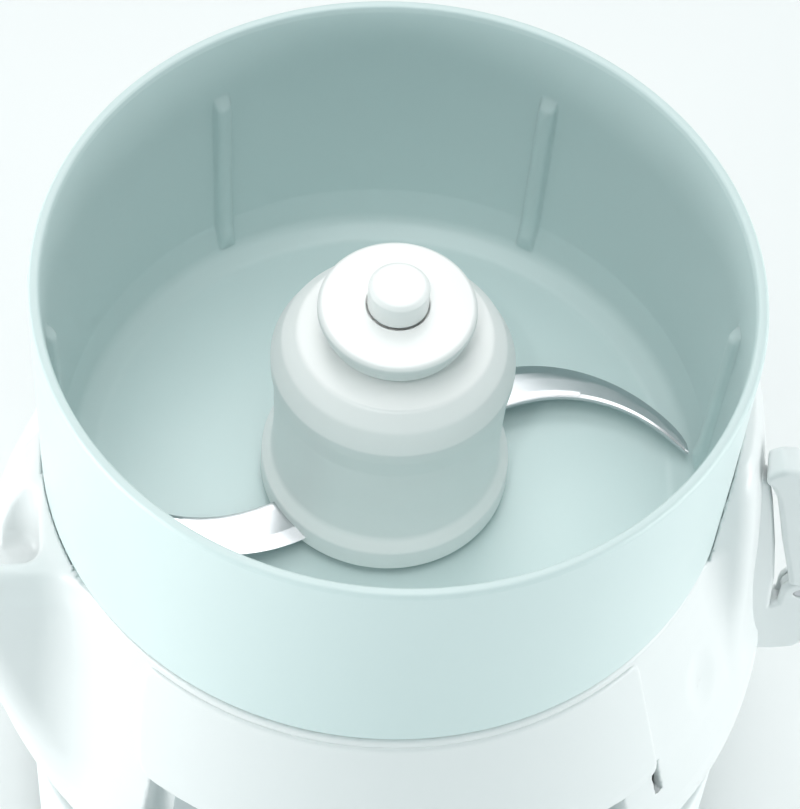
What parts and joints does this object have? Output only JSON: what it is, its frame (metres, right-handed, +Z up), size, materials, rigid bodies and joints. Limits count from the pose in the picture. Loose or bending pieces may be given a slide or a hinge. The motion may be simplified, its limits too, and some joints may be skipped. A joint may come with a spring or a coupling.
{
  "type": "electric meat grinder",
  "caption": "Bowl-type electric meat grinder: round white work bowl with a central blade carrier on a flared motor base with a side lock lever, front panel and controls.",
  "frame": {"origin": "on the resting plane under the feet, at the bowl's axis", "axes": "+Z up along the bowl and drive axis, front panel towards -Y, lock lever towards +X"},
  "size_m": [0.3064, 0.274, 0.258],
  "materials": {
    "bowl_white": "gloss",
    "housing_white": "gloss",
    "base_white": "satin",
    "hub_white": "satin",
    "control_grey": "satin",
    "plate_grey": "matte",
    "rubber_dark": "matte",
    "blade_steel": "brushed",
    "shaft_steel": "satin",
    "motor_dark": "matte",
    "belt_pulley": "matte",
    "bearing_bronze": "satin",
    "winding_copper": "satin",
    "board_green": "satin",
    "lamp_amber": "gloss"
  },
  "bodies": {
    "base": {"upper_housing": "housing_white", "front_panel": "housing_white", "lower_base": "base_white", "base_plate": "plate_grey", "foot_1": "rubber_dark", "foot_2": "rubber_dark", "foot_3": "rubber_dark", "foot_4": "rubber_dark", "base_screw_1": "shaft_steel", "base_screw_2": "shaft_steel", "base_screw_3": "shaft_steel", "base_screw_4": "shaft_steel", "bowl_seal": "rubber_dark", "spindle_bearing_upper": "bearing_bronze", "spindle_bearing_lower": "bearing_bronze", "drive_belt": "rubber_dark", "motor_stator": "motor_dark", "field_windings": "winding_copper", "motor_bracket": "shaft_steel", "control_fascia": "control_grey", "pulse_spring": "shaft_steel", "power_lamp": "lamp_amber", "speed_switch": "belt_pulley", "pulse_switch": "belt_pulley", "control_board": "board_green", "lever_bracket": "housing_white", "lever_pin": "shaft_steel", "cord_inlet": "rubber_dark"},
    "bowl": {"bowl": "bowl_white"},
    "carrier": {"blade_carrier": "hub_white", "lower_blade_a": "blade_steel", "lower_blade_b": "blade_steel", "grip_disc": "hub_white", "release_spring": "shaft_steel"},
    "release_button": {"release_button": "hub_white"},
    "spindle": {"drive_spindle": "shaft_steel", "spindle_pulley": "belt_pulley"},
    "rotor": {"motor_rotor": "shaft_steel", "motor_fan": "belt_pulley", "motor_pulley": "belt_pulley"},
    "lock_lever": {"lock_lever": "housing_white"},
    "speed_knob": {"speed_knob": "control_grey"},
    "pulse_button": {"pulse_button": "control_grey"}
  },
  "joints": [
    {"name": "bowl_lift", "type": "slide", "parent": "base", "child": "bowl", "axis": [0, 0, 1], "range_m": [0, 0.12]},
    {"name": "carrier_spin", "type": "hinge", "parent": "bowl", "child": "carrier", "pos_m": [0, 0, 0.19], "axis": [0, 0, 1], "continuous": true},
    {"name": "release_press", "type": "slide", "parent": "carrier", "child": "release_button", "axis": [0, 0, -1], "range_m": [0, 0.0035], "stiffness_N_per_m": 400, "deforming": ["release_spring"]},
    {"name": "spindle_spin", "type": "hinge", "parent": "base", "child": "spindle", "pos_m": [0, 0, 0.1], "axis": [0, 0, 1], "continuous": true},
    {"name": "rotor_spin", "type": "hinge", "parent": "base", "child": "rotor", "pos_m": [0, 0.062, 0.08], "axis": [0, 0, 1], "continuous": true},
    {"name": "lever_swing", "type": "hinge", "parent": "base", "child": "lock_lever", "pos_m": [0.1435, -0.0255, 0.1185], "axis": [0, 1, 0], "range_deg": [0, 60]},
    {"name": "knob_turn", "type": "hinge", "parent": "base", "child": "speed_knob", "pos_m": [0, -0.1261, 0.1025], "axis": [0, -0.9898, 0.1426], "range_deg": [-135, 135]},
    {"name": "pulse_press", "type": "slide", "parent": "base", "child": "pulse_button", "axis": [0.2394, 0.9604, -0.1426], "range_m": [0, 0.0024], "stiffness_N_per_m": 500, "deforming": ["pulse_spring"]}
  ],
  "couplings": [
    {"joint": "carrier_spin", "follows": "rotor_spin", "ratio": 0.32},
    {"joint": "spindle_spin", "follows": "rotor_spin", "ratio": 0.32}
  ]
}
